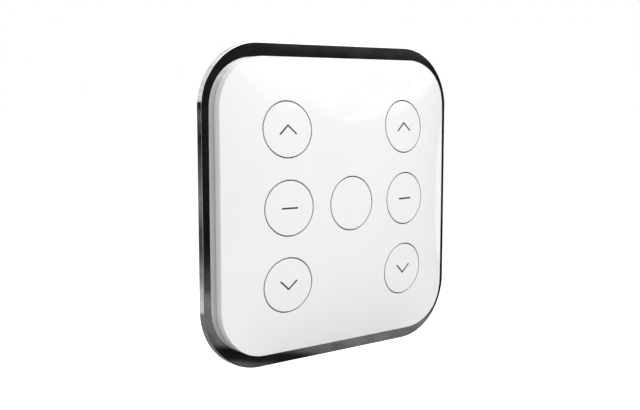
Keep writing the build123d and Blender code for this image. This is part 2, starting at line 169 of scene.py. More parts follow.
def crown_slope(x, z):
    """How fast y grows with x and with z, from the fall's own slope along each axis."""
    share_x, share_z = x / crown_half, z / crown_half
    steep = 2 / (crown_half * (1 + crown_edge_share))
    along_x = steep * share_x * (1 + 2 * crown_edge_share * share_x ** 2)
    along_z = steep * share_z * (1 + 2 * crown_edge_share * share_z ** 2)
    return crown_scale * along_x * (1 - fall(z)), crown_scale * along_z * (1 - fall(x))


def on_crown(x, z, depth):
    """Points at x and z, whose y is the crown's y plus a depth behind it."""
    return np.stack([x, crown_y(x, z) + depth, z], axis=-1)


print("crown falls", round(float(crown_y(cover_half, 0.0) + apex), 2), "mm at the edge")

# %% [markdown]
# ## From arrays to meshes
#
# Each piece is one or more grids of points: rows go across the piece's profile, columns go round
# it. A loop could place the points one by one, but array arithmetic makes thousands at once, and
# a formula for a whole surface is easier to read. `patch` turns a grid into points and faces.


# %% Grids and patches
def patch(grid, round_trip=True):
    """Points and faces of a grid: each face joins a point, its neighbour and the two in the next row."""
    rows, columns = grid.shape[:2]
    index = np.arange(rows * columns).reshape(rows, columns)
    if round_trip:
        index = np.concatenate([index, index[:, :1]], axis=1)
    quads = np.stack([index[:-1, :-1], index[:-1, 1:], index[1:, 1:], index[1:, :-1]], axis=-1)
    return grid.reshape(-1, 3), quads.reshape(-1, 4)


def join(patches):
    """One set of points and faces from several: each patch's faces are raised by the points before it."""
    points, faces, count = [], [], 0
    for patch_points, patch_faces in patches:
        points.append(patch_points)
        faces.append(patch_faces + count)
        count += len(patch_points)
    return np.concatenate(points), np.concatenate(faces)


print("a ring of 3 by 4 points has", len(patch(np.zeros((3, 4, 3)))[1]), "faces")

# %% [markdown]
# `piece` joins patches, merges the seams, turns all faces outward, gives the piece its material,
# hangs it on the body that it rides on, and hides the CAD node that it stands for.


# %% Meshes and pieces
def new_object(name, points, faces):
    """A mesh object of points in metres and faces, in the scene."""
    mesh = bpy.data.meshes.new(name)
    mesh.from_pydata(points.tolist(), [], faces.tolist())
    thing = bpy.data.objects.new(name, mesh)
    bpy.context.scene.collection.objects.link(thing)
    return thing


def piece(name, patches, body, material, stands_for, sharp=50):
    """A finished piece from patches in millimetres, smooth but for turns above a sharp angle."""
    points, faces = join(patches)
    thing = new_object(name, points * MM, faces)
    mesh = thing.data
    shape = bmesh.new()
    shape.from_mesh(mesh)
    bmesh.ops.remove_doubles(shape, verts=shape.verts, dist=merge_distance * MM)
    bmesh.ops.recalc_face_normals(shape, faces=shape.faces)
    shape.to_mesh(mesh)
    open_edges = sum(1 for e in shape.edges if len(e.link_faces) != 2)
    shape.free()
    mesh.shade_smooth()
    mesh.set_sharp_from_angle(angle=radians(sharp))
    mesh.materials.append(material)
    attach(thing, body)
    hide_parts(*stands_for)
    print(name, "faces", len(mesh.polygons), "open edges", open_edges)
    return thing


# %% [markdown]
# ## Finishes
#
# A moulded or plated surface is never one flat colour. Each finish mixes three things: a slow
# change of tone, a change of gloss where hands and handling have been, and a fine relief that
# breaks up reflections. Pictures could be painted for them, but patterns worked out by nodes stay
# sharp at any distance and need no unwrapping. All are driven by noise in object coordinates, in
# metres, so a scale of 1000 makes a pattern about a millimetre across, whatever piece wears it.


# %% Shader nodes and finishes
def add_node(tree, kind, inputs=(), **settings):
    """A new shader node: settings are its own options, inputs are values or links by socket name."""
    made = tree.nodes.new(kind)
    for option, value in settings.items():
        setattr(made, option, value)
    for socket, value in dict(inputs).items():
        if isinstance(value, bpy.types.NodeSocket):
            tree.links.new(value, made.inputs[socket])
        else:
            made.inputs[socket].default_value = value
    return made


class Finish:
    """A material with its Principled shader at hand, and short ways to add to it."""

    def __init__(self, name, colour, roughness, metallic=0.0, ior=1.5):
        self.material = bpy.data.materials.new(name)
        self.material.use_nodes = True
        self.tree = self.material.node_tree
        self.shader = self.tree.nodes["Principled BSDF"]
        look = {"Base Color": (*colour, 1), "Roughness": roughness, "Metallic": metallic, "IOR": ior}
        for socket, value in look.items():
            self.shader.inputs[socket].default_value = value
        self.place = self.node("ShaderNodeTexCoord").outputs["Object"]
        self.relief = None

    def node(self, kind, inputs=(), **settings):
        """A new node of this material."""
        return add_node(self.tree, kind, inputs, **settings)

    def stretched(self, stretch):
        """Object coordinates with each axis multiplied, to draw a pattern out into streaks."""
        mapping = self.node("ShaderNodeMapping", {"Vector": self.place, "Scale": stretch})
        return mapping.outputs["Vector"]

    def noise(self, scale, detail=3.0, rough=0.55, stretch=None):
        """Noise from 0 to 1 whose lumps are about one over the scale across, in metres."""
        where = self.stretched(stretch) if stretch else self.place
        inputs = {"Vector": where, "Scale": scale, "Detail": detail, "Roughness": rough}
        return self.node("ShaderNodeTexNoise", inputs).outputs["Fac"]

    def spread(self, source, low, high, start=0.3, end=0.7):
        """A number between low and high, or two patterns, as the source goes from start to end."""
        inputs = {"Value": source, "From Min": start, "From Max": end, "To Min": low, "To Max": high}
        return self.node("ShaderNodeMapRange", inputs).outputs["Result"]

    def ramp(self, source, stops):
        """Colours at given places along a source from 0 to 1. A new ramp has two stops already."""
        made = self.node("ShaderNodeValToRGB", {"Fac": source})
        stops_there = made.color_ramp.elements
        for stop, (position, colour) in zip(stops_there, stops):
            stop.position = position
            stop.color = (*colour, 1)
        for position, colour in stops[2:]:
            stops_there.new(position).color = (*colour, 1)
        return made.outputs["Color"]

    def tone(self, source, stops):
        """Drives the base colour from a source through a colour ramp."""
        self.tree.links.new(self.ramp(source, stops), self.shader.inputs["Base Color"])

    def gloss(self, source, low, high, start=0.3, end=0.7):
        """Drives the roughness from a source."""
        value = self.spread(source, low, high, start, end)
        self.tree.links.new(value, self.shader.inputs["Roughness"])

    def bump(self, source, depth):
        """Adds a relief of a depth in metres, on top of any relief that is there already."""
        inputs = {"Height": source, "Distance": depth}
        if self.relief is not None:
            inputs["Normal"] = self.relief
        self.relief = self.node("ShaderNodeBump", inputs).outputs["Normal"]
        self.tree.links.new(self.relief, self.shader.inputs["Normal"])

    def done(self):
        """The finished material, after a word on its size."""
        print("finish", self.material.name, "with", len(self.tree.nodes), "nodes")
        return self.material


# %% [markdown]
# Most pieces are moulded plastic or bare metal, and each kind has its own recipe, which takes one
# colour and works out the other tones.


# %% Recipes for plastic and metal
def shade_of(colour, share):
    """A colour made lighter or darker by a share."""
    return tuple(min(1.0, c * share) for c in colour)


def moulded(name, colour, roughness, grain=900, grain_depth=6e-6, mottle=0.03):
    """Moulded plastic: slow mottling, patchy gloss, and the fine spark texture of a steel mould."""
    finish = Finish(name, colour, roughness)
    slow = finish.noise(60, detail=4)
    finish.tone(slow, [(0.3, shade_of(colour, 1 - mottle)), (0.7, shade_of(colour, 1 + mottle))])
    finish.gloss(finish.noise(140, detail=5), roughness * 0.85, min(1.0, roughness * 1.18))
    finish.bump(finish.noise(grain, detail=2), grain_depth)
    return finish.done()


def metal(name, colour, roughness, streaks, scale, depth, tarnish=0.12):
    """Bare metal: tarnish in slow patches, and fine marks that run along one way."""
    finish = Finish(name, colour, roughness, metallic=1.0)
    slow = finish.noise(180, detail=6)
    finish.tone(slow, [(0.3, shade_of(colour, 1 - tarnish)), (0.7, colour)])
    marks = finish.noise(scale, detail=6, rough=0.65, stretch=streaks)
    finish.gloss(marks, roughness * 0.7, min(1.0, roughness * 1.5))
    finish.bump(marks, depth)
    return finish.done()


print("half grey, a tenth darker:", shade_of((0.5, 0.5, 0.5), 0.9))

# %% [markdown]
# The cover and the keys are the same polished white plastic, from the same mould polish. Up close
# such a surface isn't a perfect mirror: cooling leaves it very slightly wavy, which bends the
# edge of every reflection. The keys are touched more, so their gloss is a little patchier. Deep in
# the thin gap round a key, where hardly any light comes back, the white is darkened: this is
# painted shade, not a colour of the plastic.


# %% Gloss white of the cover and the keys
def paint_gap_shade(finish, share):
    """Painted shade: multiplies the base colour down by a share where the mesh says that a point is in a
    gap.
    """
    gap = finish.node("ShaderNodeAttribute", attribute_name="gap_shade").outputs["Fac"]
    left = finish.spread(gap, 1.0, 1.0 - share, 0.0, 1.0)
    colour = finish.shader.inputs["Base Color"].links[0].from_socket
    darker = finish.node("ShaderNodeVectorMath", {0: colour, 1: left}, operation="MULTIPLY")
    finish.tree.links.new(darker.outputs["Vector"], finish.shader.inputs["Base Color"])


def gloss_white(name, touched):
    """Polished white plastic. The share that is touched makes finger marks in the gloss."""
    white = (0.865, 0.866, 0.868)
    finish = Finish(name, white, 0.12, ior=1.49)
    slow = finish.noise(45, detail=3)
    finish.tone(slow, [(0.3, shade_of(white, 0.988)), (0.7, shade_of(white, 1.008))])
    finish.gloss(finish.noise(120, detail=6, rough=0.6), 0.03, 0.05 + 0.06 * touched)
    finish.bump(finish.noise(95, detail=1.5), 9e-6)
    finish.bump(finish.noise(1500, detail=2), 2.5e-7)
    # Painted shade: the white is darkened deep in the gaps round the keys.
    paint_gap_shade(finish, 0.88)
    return finish.done()


cover_white = gloss_white("cover_gloss_white", touched=0.3)
key_white = gloss_white("key_gloss_white", touched=1.0)

# %% [markdown]
# The marks on the keys are thin strokes of dark grey. The ink is matt next to the gloss around
# it, and slightly grainy, so it shows no highlight of its own.

# %% Grey of the marks
mark_finish = Finish("mark_grey", (0.045, 0.046, 0.05), 0.5)
mark_finish.tone(mark_finish.noise(2500), [(0.3, (0.035, 0.036, 0.04)), (0.7, (0.06, 0.061, 0.065))])
mark_finish.gloss(mark_finish.noise(4000), 0.42, 0.6)
mark_finish.bump(mark_finish.noise(6000, detail=2), 1.5e-6)
mark_grey = mark_finish.done()

# %% [markdown]
# The frame is plated plastic: a chrome that mirrors its surroundings. What makes it read as real
# is not its colour but how the mirror fails, with faint cloudy smudges and a slight waviness. All
# of that goes into roughness and a relief far thinner than a hair.

# %% Chrome of the frame
chrome_finish = Finish("bezel_chrome", (0.75, 0.755, 0.765), 0.05, metallic=1.0)
smudge = chrome_finish.noise(70, detail=7, rough=0.62)
chrome_finish.tone(smudge, [(0.3, (0.70, 0.705, 0.715)), (0.7, (0.79, 0.795, 0.805))])
chrome_finish.gloss(smudge, 0.012, 0.05, start=0.35, end=0.75)
chrome_finish.bump(chrome_finish.noise(35, detail=2), 1.2e-5)
chrome_finish.bump(chrome_finish.noise(420, detail=3), 8e-7)
bezel_chrome = chrome_finish.done()

# %% [markdown]
# Everything behind the cover is out of sight until the unit is opened, but each piece still gets
# the finish of the real thing: sparked white plastic for the plate and the housing, black plastic
# for the chips and the battery holder, bright steel, copper and a green board.

# %% Plastics inside
plate_white = moulded("plate_white", (0.78, 0.78, 0.77), 0.48, grain=1400, grain_depth=9e-6)
housing_white = moulded("housing_white", (0.74, 0.74, 0.73), 0.42, grain=1200, grain_depth=8e-6)
guide_plastic = moulded("guide_natural", (0.70, 0.69, 0.66), 0.4, grain=700, grain_depth=4e-6)
holder_black = moulded("holder_black", (0.022, 0.022, 0.024), 0.45, grain=900, mottle=0.2)
switch_dark = moulded("switch_dark", (0.03, 0.03, 0.032), 0.36, grain=1600, mottle=0.2)

# %% [markdown]
# The cell and the crystal's can are drawn steel, the contacts are springs, the screws are turned,
# and the antenna is copper. Streaks say how much finer the marks are along X, Y and Z, so the
# marks run across the finest axis, as turning marks run round a screw.

# %% Metals inside
cell_steel = metal(
    "cell_steel", (0.68, 0.675, 0.66), 0.26, streaks=(1, 1, 14), scale=500, depth=4e-7, tarnish=0.08,
)
spring_metal = metal(
    "spring_metal", (0.72, 0.70, 0.64), 0.2, streaks=(12, 1, 1), scale=500, depth=4e-7,
)
screw_steel = metal(
    "screw_steel", (0.62, 0.62, 0.62), 0.32, streaks=(1, 10, 1), scale=700, depth=5e-7,
)
antenna_copper = metal(
    "antenna_copper", (0.86, 0.50, 0.33), 0.34, streaks=(6, 1, 1), scale=600, depth=6e-7, tarnish=0.15,
)

# %% [markdown]
# The board is glass cloth in green lacquer. Copper tracks under the lacquer show as slightly
# lighter, slightly raised lines along X and Z, and tinned pads stand bare between them. A brick
# pattern makes the tracks: long low bricks, of which only some are copper. One pattern lies along
# X and one along Z, and a slow noise decides which of them rules where.

# %% Board laminate with tracks and pads
board_finish = Finish("board_green", (0.02, 0.16, 0.07), 0.3)
board_axes = board_finish.node("ShaderNodeSeparateXYZ", {"Vector": board_finish.place}).outputs
lacquer = (0.014, 0.115, 0.05)
lacquer_on_copper = (0.03, 0.19, 0.085)
board_tin = (0.62, 0.60, 0.55)
brick_scale = 300.0
brick_gap_share = 0.3
brick_row_shift = 0.37


def tracks(along, across, length, pitch):
    """Straight tracks, 0 or 1, from bricks whose length and pitch count in parts of a 300th metre."""
    where = board_finish.node("ShaderNodeCombineXYZ", {"X": along, "Y": across})
    bricks = board_finish.node("ShaderNodeTexBrick", {
        "Vector": where.outputs["Vector"], "Scale": brick_scale, "Brick Width": length,
        "Row Height": pitch, "Mortar Size": pitch * brick_gap_share, "Mortar Smooth": 0.0,
        "Bias": 0.0, "Color1": (0, 0, 0, 1), "Color2": (1, 1, 1, 1), "Mortar": (0, 0, 0, 1),
    }, offset=brick_row_shift)
    return board_finish.spread(bricks.outputs["Color"], 0.0, 1.0, 0.46, 0.5)


tracks_along_x = tracks(board_axes["X"], board_axes["Z"], length=2.3, pitch=0.27)
tracks_along_z = tracks(board_axes["Z"], board_axes["X"], length=1.9, pitch=0.27)
either_way = board_finish.spread(
    board_finish.noise(70, detail=0), tracks_along_x, tracks_along_z, 0.49, 0.51
)
pad_distance = board_finish.node(
    "ShaderNodeTexVoronoi",
    {"Vector": board_finish.stretched((1, 0, 1)), "Scale": 170.0, "Randomness": 0.9},
).outputs["Distance"]
pads = board_finish.spread(pad_distance, 1.0, 0.0, 0.09, 0.11)
half_tracks = board_finish.spread(either_way, 0.0, 0.5, 0.0, 1.0)
copper = board_finish.node(
    "ShaderNodeMath", {0: half_tracks, 1: pads}, operation="MAXIMUM",
).outputs["Value"]
board_finish.tone(copper, [
    (0.1, lacquer), (0.4, lacquer_on_copper), (0.6, lacquer_on_copper), (0.8, board_tin),
])
board_finish.gloss(board_finish.noise(500, detail=4), 0.22, 0.38)
board_finish.bump(copper, 2.5e-5)
board_green = board_finish.done()

# %% [markdown]
# Ceramic chips have pale fired bodies with tinned ends, and the two black chips carry a faint
# grain from their moulding. These are tiny, so one tone change and a grain are enough. The four
# ceramic chips stand in one column, so the box round them gives the ends of each along X.

# %% Small parts on the board
chip_black = moulded("chip_black", (0.028, 0.028, 0.03), 0.5, grain=5000, grain_depth=3e-6, mottle=0.25)
chips_low, chips_high = limits("capacitors")
fired_clay = (0.42, 0.31, 0.2)
tinned = (0.62, 0.61, 0.58)
ceramic_finish = Finish("capacitor_ceramic", (0.45, 0.33, 0.22), 0.42)
along_x = ceramic_finish.node("ShaderNodeSeparateXYZ", {"Vector": ceramic_finish.place}).outputs["X"]
chip_share = ceramic_finish.spread(along_x, 0.0, 1.0, chips_low[0] * MM, chips_high[0] * MM)
ceramic_finish.tone(chip_share, [(0.2, tinned), (0.24, fired_clay), (0.76, fired_clay), (0.8, tinned)])
ceramic_finish.bump(ceramic_finish.noise(6000), 2e-6)
capacitor_ceramic = ceramic_finish.done()

# %% [markdown]
# ## Finishes of the CAD nodes
#
# These nodes keep their CAD meshes: their shape is right, and only the material changes.

# %% Dress the CAD nodes
node_finishes = {
    "wall_plate": plate_white,
    "rear_housing": housing_white,
    "battery_door": housing_white,
    "coin_cell": cell_steel,
    "battery_holder": holder_black,
    "battery_plus_contact": spring_metal,
    "battery_minus_contact": spring_metal,
    "circuit_board": board_green,
    "button_guide": guide_plastic,
    "bezel_frame": bezel_chrome,
    "front_cover": cover_white,
    "cover_screws": screw_steel,
    "board_screws": screw_steel,
    "microcontroller": chip_black,
    "radio_chip": chip_black,
    "crystal": cell_steel,
    "capacitors": capacitor_ceramic,
    "antenna_loop": antenna_copper,
}
for key in key_places:
    node_finishes["button_" + key] = key_white
    node_finishes["legend_" + key] = mark_grey
    node_finishes["switch_body_" + key] = switch_dark
    node_finishes["switch_plunger_" + key] = guide_plastic

for name, node in nodes.items():
    node.data.materials.clear()
    node.data.materials.append(node_finishes[name])
print("dressed", len(nodes), "CAD nodes")

# %% [markdown]
# ## The rounded square
#
# The frame, the cover's side and its inside are all squares whose corners are struck from the
# same four centres. So one path serves them all: a core point on a small square, and a direction
# that points straight out. A point at any half width is the core plus that direction times what
# is left. Rings made so lie exactly side by side, and walls between them keep their thickness.


# %% The shared path of all rounded squares
def ray_path(x, z):
    """Core and direction for rays from the middle through given points.

    The ray meets the rounded square of the cover's outline on a straight side where its smaller
    coordinate stays within the corner centre, and otherwise on the corner's circle. The core is
    that meeting point held within the corner centres, and the direction points from core to it.
    """
    length = np.hypot(x, z)
    ray_x, ray_z = x / length, z / length
    larger = np.maximum(np.abs(ray_x), np.abs(ray_z))
    smaller = np.minimum(np.abs(ray_x), np.abs(ray_z))
    straight = cover_half / larger
    on_side = straight * smaller <= corner_centre
    middle = corner_centre * (larger + smaller)
    radius = cover_half - corner_centre
    inside = np.maximum(middle ** 2 - 2 * corner_centre ** 2 + radius ** 2, 0)
    reach = np.where(on_side, straight, middle + np.sqrt(inside))
    meet = np.stack([ray_x * reach, ray_z * reach], axis=-1)
    core = np.clip(meet, -corner_centre, corner_centre)
    out = meet - core
    return core, out / np.linalg.norm(out, axis=-1, keepdims=True)


def even_path(along_side=14, round_corner=20):
    """Core and direction for a frame: even steps along each side, and even turns at each corner."""
    slide = np.linspace(-corner_centre, corner_centre, along_side, endpoint=False)
    turn = np.linspace(0, pi / 2, round_corner, endpoint=False)
    core, out = [], []
    for quarter in range(4):
        start = quarter * pi / 2
        facing = np.array([cos(start), sin(start)])
        left = np.array([-sin(start), cos(start)])
        core.append(corner_centre * facing + slide[:, None] * left)
        out.append(np.tile(facing, (along_side, 1)))
        core.append(np.tile(corner_centre * (facing + left), (round_corner, 1)))
        out.append(np.stack([np.cos(start + turn), np.sin(start + turn)], axis=-1))
    return np.concatenate(core), np.concatenate(out)


def outline_at(path, half):
    """x and z at a half width: core plus direction times half width less corner centre."""
    core, out = path
    flat = core + out * (np.asarray(half) - corner_centre)[..., None]
    return flat[:, 0], flat[:, 1]


def ring_at(path, half, y):
    """One row of points at a half width, all at one y or each at its own."""
    x, z = outline_at(path, half)
    return np.stack([x, np.broadcast_to(y, x.shape), z], axis=-1)


frame_path = even_path()
print("points round the frame", len(frame_path[0]))

# %% [markdown]
# ## The chromed frame
#
# The frame is a flat plate with a square opening. Its front is a mirror, so it must be truly
# flat. A bevel modifier could round its edges, but a profile carried round the shared path puts
# each row of points where it is wanted, and here the spare rows matter most. Rounding each edge
# by about a sixth of a millimetre gives the thin bright line that plated edges always have.


# %% Frame as a profile carried round the path
def edge_arc(half, reach, radius, start, end, steps=5):
    """Points of a quarter round: centre plus radius times the cosine and sine of a turning angle."""
    turn = np.radians(np.linspace(start, end, steps))
    return [(half + radius * cos(a), reach + radius * sin(a)) for a in turn]


def frame_profile(edge=0.16, under_cover=0.5):
    """Closed profile of half widths and reaches, from the opening's back edge round the outside."""
    inner, outer = frame_opening_half, frame_half
    back, front = frame_back, frame_front
    profile = [(inner, back), (outer - edge - spare, back)]
    profile += edge_arc(outer - edge, back + edge, edge, -90, 0)
    profile += [(outer, back + edge + spare), (outer, front - edge - spare)]
    profile += edge_arc(outer - edge, front - edge, edge, 0, 90)
    profile += [(outer - edge - spare, front), (cover_half - under_cover, front), (inner, front)]
    profile.append(profile[0])
    return profile


frame_rows = [ring_at(frame_path, half, -reach) for half, reach in frame_profile()]
piece(
    "chromed_frame", [patch(np.stack(frame_rows))], "transmitter", bezel_chrome,
    stands_for=["bezel_frame"],
)

# %% [markdown]
# ## The white cover
#
# The holes could be cut with booleans, but these leave long thin faces that spoil a gloss
# reflection, so the holes are part of the grid. The face has nine square cells, one per place of
# the key grid. A cell with a key is a polar patch: rings that change smoothly from the square to
# the round hole. The two plain cells are simple grids. All cells share the same points along
# their edges, so they merge.

# %% Cells of the face
cell_half = key_pitch / 2
side_steps = 24


def square_edge(half, steps):
    """x and z round a square, anticlockwise, with the same number of even steps on each side."""
    step = np.linspace(-1, 1, steps, endpoint=False)
    one = np.ones(steps)
    x = np.concatenate([one, -step, -one, step]) * half
    z = np.concatenate([step, one, -step, -one]) * half
    return x, z


def hole_edge(radius):
    """x and z round a circle, at angles that match those of the square's even steps."""
    turn = np.linspace(-pi / 4, 7 * pi / 4, 4 * side_steps, endpoint=False)
    return radius * np.cos(turn), radius * np.sin(turn)


def blend(first, second, shares):
    """x and z of rows between two outlines: the second times a share plus the first times the rest."""
    share = shares[:, None]
    return [(1 - share) * a + share * b for a, b in zip(first, second)]


def cell_rings(x0, z0, edge, wall_depth, rows=9, crowding=0.8, last_share=0.985):
    """Rows from the cell's square to the hole, then round the hole's edge and down to the wall depth.

    The rows on the face blend the square into the circle, with shares that crowd towards the
    circle. The depth behind the crown is nought there, and follows a quarter round at the edge.
    """
    radius = key_hole_radius + edge
    shares = np.append(np.linspace(0, 1, rows) ** crowding, 1.0)
    shares[-2] = last_share
    face_x, face_z = blend(square_edge(cell_half, side_steps), hole_edge(radius), shares)
    quarter = np.radians([22.5, 45, 67.5, 90])
    circles = [(radius - edge * sin(a), edge * (1 - cos(a))) for a in quarter]
    circles += [(key_hole_radius, edge + spare), (key_hole_radius, wall_depth)]
    hole_x, hole_z = zip(*(hole_edge(circle_radius) for circle_radius, _ in circles))
    x = np.concatenate([face_x, hole_x]) + x0
    z = np.concatenate([face_z, hole_z]) + z0
    depths = [0.0] * len(shares) + [depth for _, depth in circles]
    return on_crown(x, z, np.array(depths)[:, None])


def flat_rings(x0, z0, depth, rows=7):
    """Rows from the cell's square to the hole's circle, all at one depth behind the crown."""
    shares = np.linspace(0, 1, rows)
    x, z = blend(square_edge(cell_half, side_steps), hole_edge(key_hole_radius), shares)
    return on_crown(x + x0, z + z0, depth)


def plain_cell(x0, z0, depth):
    """A square grid of even steps, at one depth behind the crown."""
    step = np.linspace(-cell_half, cell_half, side_steps + 1)
    x, z = np.meshgrid(x0 + step, z0 + step)
    return on_crown(x, z, depth)


print("points round a cell", 4 * side_steps)

# %% [markdown]
# Round the cells a band runs out to the rounded square outline, then over the rounded edge and
# down the side. The rounded edge needs a little care, because the face arrives there at a slope
# that changes along the outline. The rounding is an arc that touches both: its centre lies one
# radius inside the side wall, and one radius behind the face measured square to it.


# %% Outer band and rounded edge
whole_edge = square_edge(3 * cell_half, 3 * side_steps)
cover_path = ray_path(*whole_edge)
print("points round the cover", len(cover_path[0]))


def band_rows(halves, depth, rows=6):
    """Rows from the cells' outer edge to a ring of given half widths, on the crown plus a depth."""
    x, z = blend(whole_edge, outline_at(cover_path, halves), np.linspace(0, 1, rows))
    return on_crown(x, z, depth)


def rounded_edge(radius, steps=8):
    """Rows of the arc between face and side, and the half widths at which it leaves the face.

    The face's slope straight outwards is the crown's slope along the direction. With its angle a,
    the arc's centre is a radius inside the side and (1 - sin a) / cos a radii behind the edge.
    """
    x, z = outline_at(cover_path, cover_half)
    slope_x, slope_z = crown_slope(x, z)
    out = cover_path[1]
    lean = np.arctan(slope_x * out[:, 0] + slope_z * out[:, 1])
    centre_y = crown_y(x, z) + radius * (1 - np.sin(lean)) / np.cos(lean)
    rows = []
    for share in np.linspace(0, 1, steps):
        turn = (pi / 2 - lean) * (1 - share)
        half = cover_half - radius + radius * np.cos(turn)
        rows.append(ring_at(cover_path, half, centre_y - radius * np.sin(turn)))
    leaving = cover_half - radius + radius * np.cos(pi / 2 - lean)
    return rows, leaving


# %% [markdown]
# The shell joins the outside and the inside, which repeats the outside at a smaller size and one
# skin further back. So the cover has real thickness in each key hole and along its foot.


# %% Patches of the cover's shell
def side_rows(foot_round=0.08, side_row=2.2, slant=0.3):
    """Rows down the cover's side, over its rounded foot on the frame, and up to the inner skin."""
    foot = -frame_front
    profile = [
        (cover_half, foot - side_row),
        (cover_half, foot - foot_round - spare),
        (cover_half, foot - foot_round),
        (cover_half - foot_round * slant, foot - foot_round * slant),
        (cover_half - foot_round, foot),
        (cover_inner_half, foot),
    ]
    rows = [ring_at(cover_path, half, y) for half, y in profile]
    rows.append(on_crown(*outline_at(cover_path, cover_inner_half), cover_skin))
    return rows


def cover_patches(edge_round=0.25, hole_round=0.1, edge_spare=0.06):
    """All patches of the cover's shell, outside and inside."""
    patches = []
    for x0, z0 in key_places.values():
        patches.append(patch(cell_rings(x0, z0, hole_round, cover_skin)))
        patches.append(patch(flat_rings(x0, z0, cover_skin)))
    for z0 in (key_pitch, -key_pitch):
        for depth in (0.0, cover_skin):
            patches.append(patch(plain_cell(0.0, z0, depth), round_trip=False))
    arc, leaving = rounded_edge(edge_round)
    face = band_rows(leaving - edge_spare, 0.0)
    patches.append(patch(np.concatenate([face, np.stack(arc + side_rows())])))
    patches.append(patch(band_rows(cover_inner_half, cover_skin)))
    return patches


shell = cover_patches()
print("patches of the shell", len(shell))

# %% [markdown]
# Four bosses hang from the skin, and the screws from behind the housing bite into them. They are
# turned shapes, as the keys will be.


# %% Turned shapes and bosses
def turned(x0, z0, profile, steps):
    """Grid of a profile turned round a line into the wall: place plus radius times cosine and sine.

    A profile row has a radius, a y and whether that y is plain. If it isn't, it counts as a depth
    behind the crown, so that the row takes the crown's curve.
    """
    turn = np.linspace(0, 2 * pi, steps, endpoint=False)
    rows = []
    for radius, y, plain in profile:
        x = x0 + radius * np.cos(turn)
        z = z0 + radius * np.sin(turn)
        rows.append(np.stack([x, np.full(steps, y), z], axis=-1) if plain else on_crown(x, z, y))
    return np.stack(rows)


def boss_patch(x0, z0, root_depth=0.7, outer_edge=0.15, hole_edge_width=0.12, steps=32):
    """A screw boss: a tube revolved round its own axis, rooted in the skin and open at the back."""
    root = crown_y(x0, z0) + root_depth
    rim = -housing_boss_top
    hole_end = rim - cover_screw_bite
    profile = [
        (0.0, root),
        (cover_boss_radius, root),
        (cover_boss_radius, rim - outer_edge),
        (cover_boss_radius - outer_edge, rim),
        (cover_screw_hole_radius + hole_edge_width, rim),
        (cover_screw_hole_radius, rim - hole_edge_width),
        (cover_screw_hole_radius, hole_end),
        (0.0, hole_end),
    ]
    return patch(turned(x0, z0, [(radius, y, True) for radius, y in profile], steps))


corners = [(i * cover_screw_spacing, j * cover_screw_spacing) for i in (-1, 1) for j in (-1, 1)]
bosses = [boss_patch(x, z) for x, z in corners]
print("bosses", len(bosses))

# %% [markdown]
# The dark line round each key is a gap too narrow for light. The mesh marks the points that lie in
# it, and the white finish reads the mark and darkens the white there, as painted shade.


# %% Painted gap shade and the finished cover
def mark_gap_shade(thing, beside=0.15, full_depth=0.5):
    """Writes the mark of painted shade on points beside a key's rim: depth behind the crown over the full
    depth.
    """
    points = np.array([v.co for v in thing.data.vertices]) / MM
    x, y, z = points.T
    centres = np.array(list(key_places.values()))
    radius = np.hypot(x[:, None] - centres[:, 0], z[:, None] - centres[:, 1]).min(axis=1)
    depth = y - crown_y(x, z)
    inside = (radius > key_radius - beside) & (radius < key_hole_radius + beside)
    values = np.where(inside, np.clip(depth / full_depth, 0, 1), 0.0)
    attribute = thing.data.attributes.new("gap_shade", "FLOAT", "POINT")
    attribute.data.foreach_set("value", values.astype(np.float32))


mark_gap_shade(piece(
    "white_cover", shell + bosses, "transmitter", cover_white,
    stands_for=["front_cover"],
))

# %% [markdown]
# ## The keys
#
# A key is a profile turned round its own axis: face, rounded rim, skirt, a flange that the cover
# holds back, a hollow underside and a stem that presses the switch. A screw modifier could turn
# it, but its rim would lie in a plane. Here the profile gives a radius and a depth behind the
# crown, so every key comes out flush with the cover round it. Only the stem's foot is flat.


# %% Keys as turned profiles on the crown
def key_profile(rim=0.12, lip=0.1):
    """Rows of radius, y and whether that y is plain, from the middle of the face to the foot."""
    radii = [0.0, 0.7, 1.5, 2.5, 3.6, 4.7, 5.7, 6.5, key_radius - rim - spare]
    profile = [(radius, 0.0) for radius in radii]
    for turn in np.radians([0, 22.5, 45, 67.5, 90]):
        profile.append((key_radius - rim + rim * sin(turn), rim * (1 - cos(turn))))
    profile += [
        (key_radius, rim + spare),
        (key_radius, key_flange_top),
        (key_flange_radius - lip, key_flange_top),
        (key_flange_radius, key_flange_top + lip),
        (key_flange_radius, key_depth),
        (key_inner_radius, key_depth),
        (key_inner_radius, key_face),
        (stem_radius, key_face),
    ]
    foot = [
        (stem_radius, -plunger_top - lip),
        (stem_radius - lip, -plunger_top),
        (0.0, -plunger_top),
    ]
    return [(radius, y, False) for radius, y in profile] + [(radius, y, True) for radius, y in foot]


# Each key carries the mark of painted shade in the gap round its rim.
for key, (x0, z0) in key_places.items():
    mark_gap_shade(piece(
        "key_" + key, [patch(turned(x0, z0, key_profile(), steps=96))], "button_" + key,
        key_white, stands_for=["button_" + key],
    ))

# %% [markdown]
# ## The marks
#
# Each mark is a stroke of even width with round ends: an open chevron up, a bar, or an open
# chevron down. The key in the middle has none. A chevron's second stroke stands slightly prouder
# than its first, so that the two tops never lie in one plane where they cross.

# %% Centre lines of the marks
mark_stroke = 0.46
mark_proud = 0.012
mark_proud_step = 0.002
mark_sunk = 0.3
chevron_half_width = 2.4
chevron_height = 2.2
bar_width = 5.0

low, high = -chevron_height / 2, chevron_height / 2
bar_reach = bar_width / 2 - mark_stroke / 2
mark_lines = {
    "up": [(-chevron_half_width, low), (0.0, high), (chevron_half_width, low)],
    "stop": [(-bar_reach, 0.0), (bar_reach, 0.0)],
    "down": [(-chevron_half_width, high), (0.0, low), (chevron_half_width, high)],
}
print("marks", list(mark_lines))

# %% [markdown]
# A curve object with a bevel could draw a stroke, but it would stay flat on a curved key. So the
# stroke is a grid on the crown, carried along its centre line, with its sides sunk into the key
# and its top a hundredth of a millimetre proud, as printed ink is.


